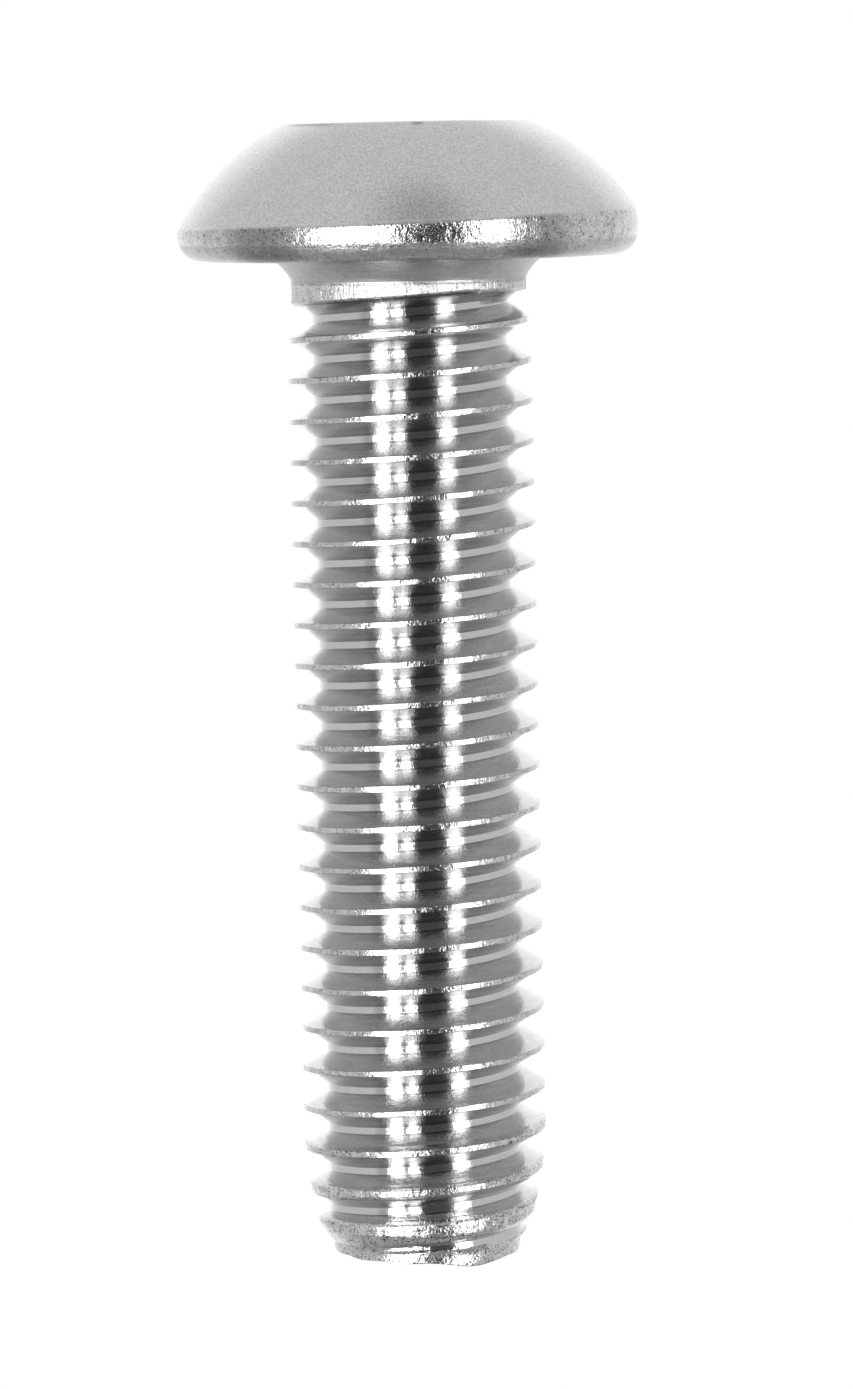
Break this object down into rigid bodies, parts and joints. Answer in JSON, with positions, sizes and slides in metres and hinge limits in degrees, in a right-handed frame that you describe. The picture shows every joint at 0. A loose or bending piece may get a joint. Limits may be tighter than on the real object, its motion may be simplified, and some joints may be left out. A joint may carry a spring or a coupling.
{
  "type": "button head screw",
  "caption": "Low domed button head screw with a hexagon socket, a short plain neck and a right-hand metric thread to the tip.",
  "frame": {"origin": "centre of the bearing face under the head", "axes": "+Z along the shank to the tip, so the head lies below the origin; +X through a pair of corners of the hexagon socket"},
  "size_m": [0.0092, 0.0092, 0.0226],
  "materials": {
    "stainless_steel": "cold headed and thread rolled, lightly polished, with fine rolling marks"
  },
  "bodies": {
    "root": {"screw": "stainless_steel"}
  },
  "joints": []
}
